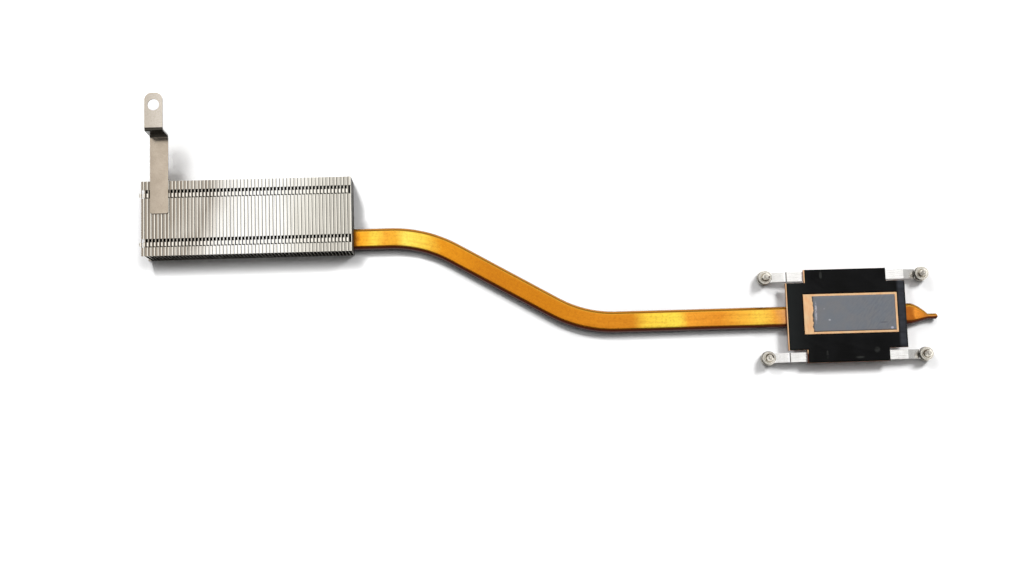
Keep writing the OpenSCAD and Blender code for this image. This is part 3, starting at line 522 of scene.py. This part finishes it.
def pipe_skin():
    """Drawn pipe: a finely swept skin, its flats dipping and waving as pressed copper does."""
    verts, faces, marks = [], [], []
    stations = pipe_stations()
    run = 0.0
    for i, (x, y, heading, w, t) in enumerate(stations):
        if i:
            run += math.hypot(x - stations[i - 1][0], y - stations[i - 1][1])
        ring = pipe_ring(w, t)
        full = min(1.0, max(0.0, (w - TAIL_D) / (PIPE_W - TAIL_D)))
        for k, (across, up) in enumerate(ring):
            outward = 1 if up > 0 else -1
            flat = max(0.0, 1 - (2 * across / w) ** 2)
            # Waves of 7 mm along and 4 mm across, others above than below
            wave = noise.noise(Vector((run * 0.14, across * 0.25, 3.0 if up > 0 else 9.0)))
            z = up - FLAT_DIP * flat * full * outward - abs(FLAT_WAVE * full * wave) * outward
            px, py = x - across * math.sin(heading), y + across * math.cos(heading)
            verts.append((px * MM, py * MM, (PIPE_Z + z) * MM))
            marks.append((run, k))
    n = len(pipe_ring(PIPE_W, PIPE_T))
    for i in range(len(stations) - 1):
        for k in range(n):
            a, b = i * n + k, i * n + (k + 1) % n
            faces.append((a, b, b + n, a + n))
    faces.append(tuple(range(n - 1, -1, -1)))
    last = (len(stations) - 1) * n
    faces.append(tuple(range(last, last + n)))
    piece = new_piece("pipe_skin", verts, faces, "pipe_copper", "module")
    mesh = piece.data
    # The finish runs along the pipe by its length, and round it by 0.35 mm from point to point
    layer = mesh.uv_layers.new(name="run")
    for polygon in mesh.polygons:
        ks = [marks[mesh.loops[i].vertex_index][1] for i in polygon.loop_indices]
        for i in polygon.loop_indices:
            length, k = marks[mesh.loops[i].vertex_index]
            if k == 0 and max(ks) == n - 1:
                k = n
            layer.data[i].uv = (length * MM, k * 0.35 * MM)
    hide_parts("heat_pipe")


def film_piece():
    """Film pressed on the plate: creased, lifted a little along its right edge."""
    # Outline, corner cut-outs, half window, level and thickness, in mm
    x0, x1, y0, y1 = -20.25, 17.98, -15.58, 14.38
    nx0, nx1, ny0, ny1 = x0 + 6, x1 - 6, y0 + 4.2, y1 - 4.2
    wx, wy = 15.2, 6.45
    top, thick = -0.38, 0.1

    def stops(low, high, keep):
        """Grid lines about 0.45 mm apart that pass through all of keep."""
        values = sorted(set([low, high] + keep))
        out = [values[0]]
        for v in values[1:]:
            parts = max(1, round((v - out[-1]) / 0.45))
            start = out[-1]
            out += [start + (v - start) * k / parts for k in range(1, parts + 1)]
        return out

    xs = stops(x0, x1, [nx0, nx1, -wx, wx])
    ys = stops(y0, y1, [ny0, ny1, -wy, wy])

    def height(x, y):
        """Level of the film at a place, in mm."""
        rise = 0.05 * noise.noise(Vector((x * 0.12, y * 0.12, 1.7)))
        # Lifted strip along the right edge, between the notches
        rise += 0.13 * math.exp(-((x - 15.9 - 0.02 * y) / 0.8) ** 2) * (1 if ny0 < y < ny1 else 0.4)
        # Creases: start, end, width, height
        for ax, ay, bx, by, wide, high in (
                (-12.5, 12.5, -7.5, 8.4, 0.35, 0.08), (-15.5, -7.6, -9.0, -11.2, 0.4, 0.06),
                (3.0, 13.0, 8.5, 8.6, 0.4, 0.05), (-3.5, -9.3, 6.0, -12.4, 0.45, 0.05)):
            d = Vector((bx - ax, by - ay))
            s = max(0.0, min(1.0, ((x - ax) * d.x + (y - ay) * d.y) / d.length_squared))
            off = math.hypot(x - ax - s * d.x, y - ay - s * d.y)
            rise += high * math.exp(-(off / wide) ** 2)
        return top - 0.02 + max(-0.02, rise)

    index, verts, faces = {}, [], []
    for i in range(len(xs) - 1):
        for j in range(len(ys) - 1):
            cx, cy = (xs[i] + xs[i + 1]) / 2, (ys[j] + ys[j + 1]) / 2
            in_cut_out = (cx < nx0 or cx > nx1) and (cy < ny0 or cy > ny1)
            if in_cut_out or abs(cx) < wx and abs(cy) < wy:
                continue
            corner = []
            for a, b in ((i, j), (i + 1, j), (i + 1, j + 1), (i, j + 1)):
                if (a, b) not in index:
                    index[a, b] = len(verts)
                    verts.append((xs[a] * MM, ys[b] * MM, height(xs[a], ys[b]) * MM))
                corner.append(index[a, b])
            faces.append(tuple(corner))
    piece = new_piece("creased_film", verts, faces, "black_film", "module")
    shell = piece.modifiers.new("thickness", "SOLIDIFY")
    shell.thickness, shell.offset = thick * MM, -1
    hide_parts("insulating_film")


def paste_piece():
    """Printed paste: a thin layer with a ragged left edge and wiping marks."""
    # Outline in mm, grid, levels in mm
    x0, x1, y0, y1 = -12.55, 14.5, -5.75, 5.75
    nx, ny = 90, 40
    top, bottom = -0.02, -0.1
    verts, faces = [], []
    for j in range(ny + 1):
        for i in range(nx + 1):
            u, v = i / nx, j / ny
            x, y = x0 + (x1 - x0) * u, y0 + (y1 - y0) * v
            ragged = noise.noise(Vector((v * 9, 0.3, 0))) + 0.6 * noise.noise(Vector((v * 31, 4.1, 0)))
            x += (0.25 + 0.35 * ragged) * (1 - u) ** 6
            # Rounded down over the last grid lines at each edge
            edge = min(u * 14, (1 - u) * 30, v * 16, (1 - v) * 16, 1.0)
            wiped = 0.018 * noise.noise(Vector((x * 0.7 + y * 1.1, y * 0.4 - x * 0.2, 2.0)))
            z = bottom + (top - bottom + min(0.02, wiped)) * math.sqrt(max(0.0, edge))
            verts.append((x * MM, y * MM, z * MM))
    row = nx + 1
    for j in range(ny):
        for i in range(nx):
            a = j * row + i
            faces.append((a, a + 1, a + row + 1, a + row))
    # Flat underside
    rim = list(range(row)) + [j * row + nx for j in range(1, ny + 1)]
    rim += [ny * row + i for i in range(nx - 1, -1, -1)] + [j * row for j in range(ny - 1, 0, -1)]
    faces.append(tuple(reversed(rim)))
    piece = new_piece("printed_paste", verts, faces, "grey_paste", "module")
    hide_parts("thermal_paste")


def screw_piece(corner, x, y):
    """M2 captive screw: rimmed head with a cross recess, shoulder, ring groove, rolled thread, cone tip."""
    around, rows = 48, 57
    pitch, deep, crest = 0.4, 0.14, 1.0
    tip, neck, recess_floor, face, face_r = 1.85, -1.0, -3.8, -4.8, 2.0
    # Radius and height in mm from the head's face up: its rim, side, shoulder and groove
    profile = [(face_r, face)]
    for k in range(1, 5):
        a = math.radians(22.5 * k)
        profile.append((face_r + 0.3 * math.sin(a), face + 0.3 - 0.3 * math.cos(a)))
    profile += [(2.3, -3.12), (2.18, -3.0), (1.25, -3.0), (1.25, -1.83), (1.17, -1.75), (0.8, -1.75), (0.8, neck)]
    profile += [(None, neck + (tip - neck) * k / rows) for k in range(rows + 1)]
    verts, faces = [], []
    for radius, z in profile:
        for k in range(around):
            a = 2 * math.pi * k / around
            r = radius
            if r is None:
                # Thread, its crest and root flattened, chamfered at the tip and run out at the neck
                saw = abs(2 * ((z / pitch - k / around) % 1) - 1)
                r = crest - deep * min(1.0, max(0.0, (saw - 0.12) / 0.76))
                r = min(r, 0.5 + (tip - z), 0.86 + 2 * (z - neck))
            verts.append(((x + r * math.cos(a)) * MM, (y + r * math.sin(a)) * MM, z * MM))
    for i in range(len(profile) - 1):
        for k in range(around):
            a, b = i * around + k, i * around + (k + 1) % around
            faces.append((a, b, b + around, a + around))
    top = (len(profile) - 1) * around
    faces.append(tuple(range(top, top + around)))
    # Underside with its recess: rim to cross, walls, floor
    cross = []
    for quarter in range(4):
        c, s = math.cos(math.radians(90 * quarter)), math.sin(math.radians(90 * quarter))
        cross += [(px * c - py * s, px * s + py * c) for px, py in ((1.15, -0.25), (1.15, 0.25), (0.25, 0.25))]
    turns = [2 * math.pi * k / around for k in range(around)]
    rim = [(face_r * math.cos(a), face_r * math.sin(a)) for a in turns]
    low = len(verts)
    verts += [((x + cx) * MM, (y + cy) * MM, face * MM) for cx, cy in cross]
    high = len(verts)
    verts += [((x + 0.8 * cx) * MM, (y + 0.8 * cy) * MM, recess_floor * MM) for cx, cy in cross]
    loops = [[Vector((px, py, 0)) for px, py in rim], [Vector((px, py, 0)) for px, py in reversed(cross)]]
    for triangle in geometry.tessellate_polygon(loops):
        corner_ids = [i if i < around else low + 11 - (i - around) for i in triangle]
        a, b, c = (Vector(verts[i]) for i in corner_ids)
        faces.append(tuple(corner_ids if (b - a).cross(c - a).z < 0 else reversed(corner_ids)))
    for k in range(12):
        a, b = low + k, low + (k + 1) % 12
        faces.append((a, b, b + 12, a + 12))
    faces.append(tuple(range(high + 11, high - 1, -1)))
    piece = new_piece("threaded_screw_" + corner, verts, faces, "nickel_plate", "screw_" + corner + "_body")
    piece.data.set_sharp_from_angle(angle=math.radians(32))
    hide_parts("screw_" + corner)


pipe_skin()
film_piece()
paste_piece()
# The screws' axes in mm, as in the part's source
SCREW_X, SCREW_Y = {"left": -26.8, "right": 24.2}, {"front": -13.6, "rear": 12.4}
for corner in CORNERS:
    row, side = corner.split("_")
    screw_piece(corner, SCREW_X[side], SCREW_Y[row])


# ---------------------------------------------------------------- stage

# Where the object stands: middle x, y and half sizes in mm of six boxes, turn in degrees
FOOTPRINT = ((-192, 35.6, 33.4, 11.9, 0), (-216, 60, 6.5, 14, 0), (-147, 28.5, 14, 3.5, 0),
             (-111, 14, 28, 3.5, -30), (-53, -0.5, 36, 3.5, 0), (-1.3, -0.6, 28, 15.6, 0))


def stage_floor():
    """Matt white card under the object."""
    half, z = 3.0, -4.8 * MM
    mesh = bpy.data.meshes.new("white_card")
    mesh.from_pydata([(-half, -half, z), (half, -half, z), (half, half, z), (-half, half, z)], [], [(0, 1, 2, 3)])
    floor = bpy.data.objects.new("white_card", mesh)
    bpy.context.scene.collection.objects.link(floor)
    # Paper card: uncoated, matt white, with a mottle of 1.1 mm that hardly shows
    material, tree = new_material("white_card_matt")
    place = add(tree, "TexCoord", out="Object")
    fibres = add(tree, "TexNoise", {"Vector": place, "Scale": 900, "Detail": 2})
    # Distance from the nearest box of the footprint
    far = None
    for x, y, half_x, half_y, turn in FOOTPRINT:
        local = add(tree, "Mapping", {
            "Vector": place, "Location": (x * MM, y * MM, 0),
            "Rotation": (0, 0, math.radians(turn))}, vector_type="TEXTURE")
        local = add(tree, "VectorMath", {0: local}, operation="ABSOLUTE")
        local = add(tree, "VectorMath", {0: local, 1: (half_x * MM, half_y * MM, 1)}, operation="SUBTRACT")
        local = add(tree, "VectorMath", {0: local, 1: (0, 0, 0)}, operation="MAXIMUM")
        reach = add(tree, "VectorMath", {0: local}, "Value", operation="LENGTH")
        far = reach if far is None else add(tree, "Math", {0: far, 1: reach}, operation="MINIMUM")
    # White to the eye and in mirrors, rising slowly from 0.6 to 6 mm off the object, so that
    # its shadow stays
    seen = add(tree, "LightPath", out=None)
    mirror = add(tree, "Math", {0: seen["Is Glossy Ray"], 1: seen["Is Transmission Ray"]}, operation="MAXIMUM")
    seen = add(tree, "Math", {0: seen["Is Camera Ray"], 1: mirror}, operation="MAXIMUM")
    rise = add(tree, "MapRange", {0: far, 1: 0.6 * MM, 2: 6 * MM})
    rise = add(tree, "Math", {0: rise, 1: 2}, operation="POWER")
    glow = add(tree, "Math", {0: rise, 1: seen}, operation="MULTIPLY")
    paper = add(tree, "Mix", {0: fibres, 6: "#FDFDFD", 7: "#FCFCFC"}, **COLOURS)
    shader = add(tree, "BsdfPrincipled", {
        "Base Color": paper, "Roughness": 0.9, "Specular IOR Level": 0.1,
        "Emission Color": "#FFFFFF", "Emission Strength": glow})
    add(tree, "OutputMaterial", {"Surface": shader}, None)
    mesh.materials.append(material)


def soft_box(name, place, target, size, opening, watts):
    """Square lamp in metres with its opening in degrees, unseen in mirrors."""
    lamp = bpy.data.lights.new(name, "AREA")
    lamp.shape, lamp.size, lamp.energy, lamp.spread = "SQUARE", size, watts, math.radians(opening)
    box = bpy.data.objects.new(name, lamp)
    bpy.context.scene.collection.objects.link(box)
    box.location = place
    box.visible_glossy = False
    box.rotation_euler = (Vector(target) - Vector(place)).to_track_quat("-Z", "Y").to_euler()


def studio_sky():
    """Studio round the object: a white sweep at the horizon, dim walls, a lit rear ceiling."""
    world = bpy.data.worlds.new("studio")
    world.use_nodes = True
    tree = world.node_tree
    tree.nodes.clear()
    way = add(tree, "TexCoord", out="Generated")
    x, y, z = add(tree, "SeparateXYZ", {0: way}, None)
    # Ceiling over the rear half, weaker at the left; the front half is nearly dark
    rear = add(tree, "MapRange", {0: y, 1: -0.14, 2: 0.05}, interpolation_type="SMOOTHSTEP")
    ceiling = add(tree, "MapRange", {0: z, 1: 0.6, 2: 0.92, 3: 0.06, 4: 1.18})
    left = add(tree, "MapRange", {0: x, 1: -0.5, 2: -0.15, 3: 0.6, 4: 1})
    lit = add(tree, "Math", {0: ceiling, 1: left}, operation="MULTIPLY")
    room = add(tree, "Math", {0: lit, 1: rear}, operation="MULTIPLY")
    room = add(tree, "Math", {0: room, 1: 0.045}, operation="MAXIMUM")
    # Two round lamps in the ceiling, which fade out from 0.6 of their radius
    radius, level = 0.13, 2.2
    for place in ((-0.35, 0.45, 1.0), (0.55, 0.6, 1.0)):
        middle = Vector(place).normalized()
        there = add(tree, "VectorMath", {0: way, 1: middle}, "Value", operation="DISTANCE")
        glow = add(tree, "MapRange", {0: there, 1: 0.6 * radius, 2: radius, 3: level, 4: 0.0})
        room = add(tree, "Math", {0: room, 1: glow}, operation="MAXIMUM")
    # The sweep is all round for the eye, and only at the rear for the rest
    seen = add(tree, "LightPath", out=None)
    sweep = add(tree, "MapRange", {0: z, 1: 0.12, 2: 0.2, 3: 1, 4: 0}, interpolation_type="SMOOTHSTEP")
    shown = add(tree, "Math", {0: rear, 1: seen["Is Camera Ray"]}, operation="MAXIMUM")
    sweep = add(tree, "Math", {0: sweep, 1: shown}, operation="MULTIPLY")
    # Mirrors also show the lower walls, which keeps the metals pale from the sides
    wall = add(tree, "MapRange", {0: z, 1: 0.5, 2: 0.78, 3: 0.6, 4: 0})
    wall = add(tree, "Math", {0: wall, 1: seen["Is Glossy Ray"]}, operation="MULTIPLY")
    room = add(tree, "Math", {0: room, 1: wall}, operation="MAXIMUM")
    total = add(tree, "Math", {0: room, 1: sweep}, operation="MAXIMUM")
    background = add(tree, "Background", {"Color": total, "Strength": 1.0})
    add(tree, "OutputWorld", {"Surface": background}, None)
    bpy.context.scene.world = world


stage_floor()
studio_sky()
soft_box("left_rear_box", (-0.273, 0.315, 0.31), (-0.175, 0.015, 0), 0.075, 62, 0.185)
soft_box("right_rear_box", (0.25, 0.29, 0.42), (0.02, -0.02, 0), 0.16, 48, 0.2)

# The photo's camera, as fitted to it: focal length in pixels, photo width in pixels
FOCAL_PX, PHOTO_W = 1466.409564, 1024
lens = bpy.data.cameras.new("view")
lens.sensor_width, lens.lens = 36, 36 * FOCAL_PX / PHOTO_W
lens.clip_start, lens.clip_end = 0.01, 20
camera = bpy.data.objects.new("view", lens)
bpy.context.scene.collection.objects.link(camera)
camera.location = (-0.122671, -0.044078, 0.464865)
camera.rotation_euler = (0.119686, -0.026798, -0.031156)
bpy.context.scene.camera = camera
bpy.context.scene.view_settings.view_transform = "Standard"
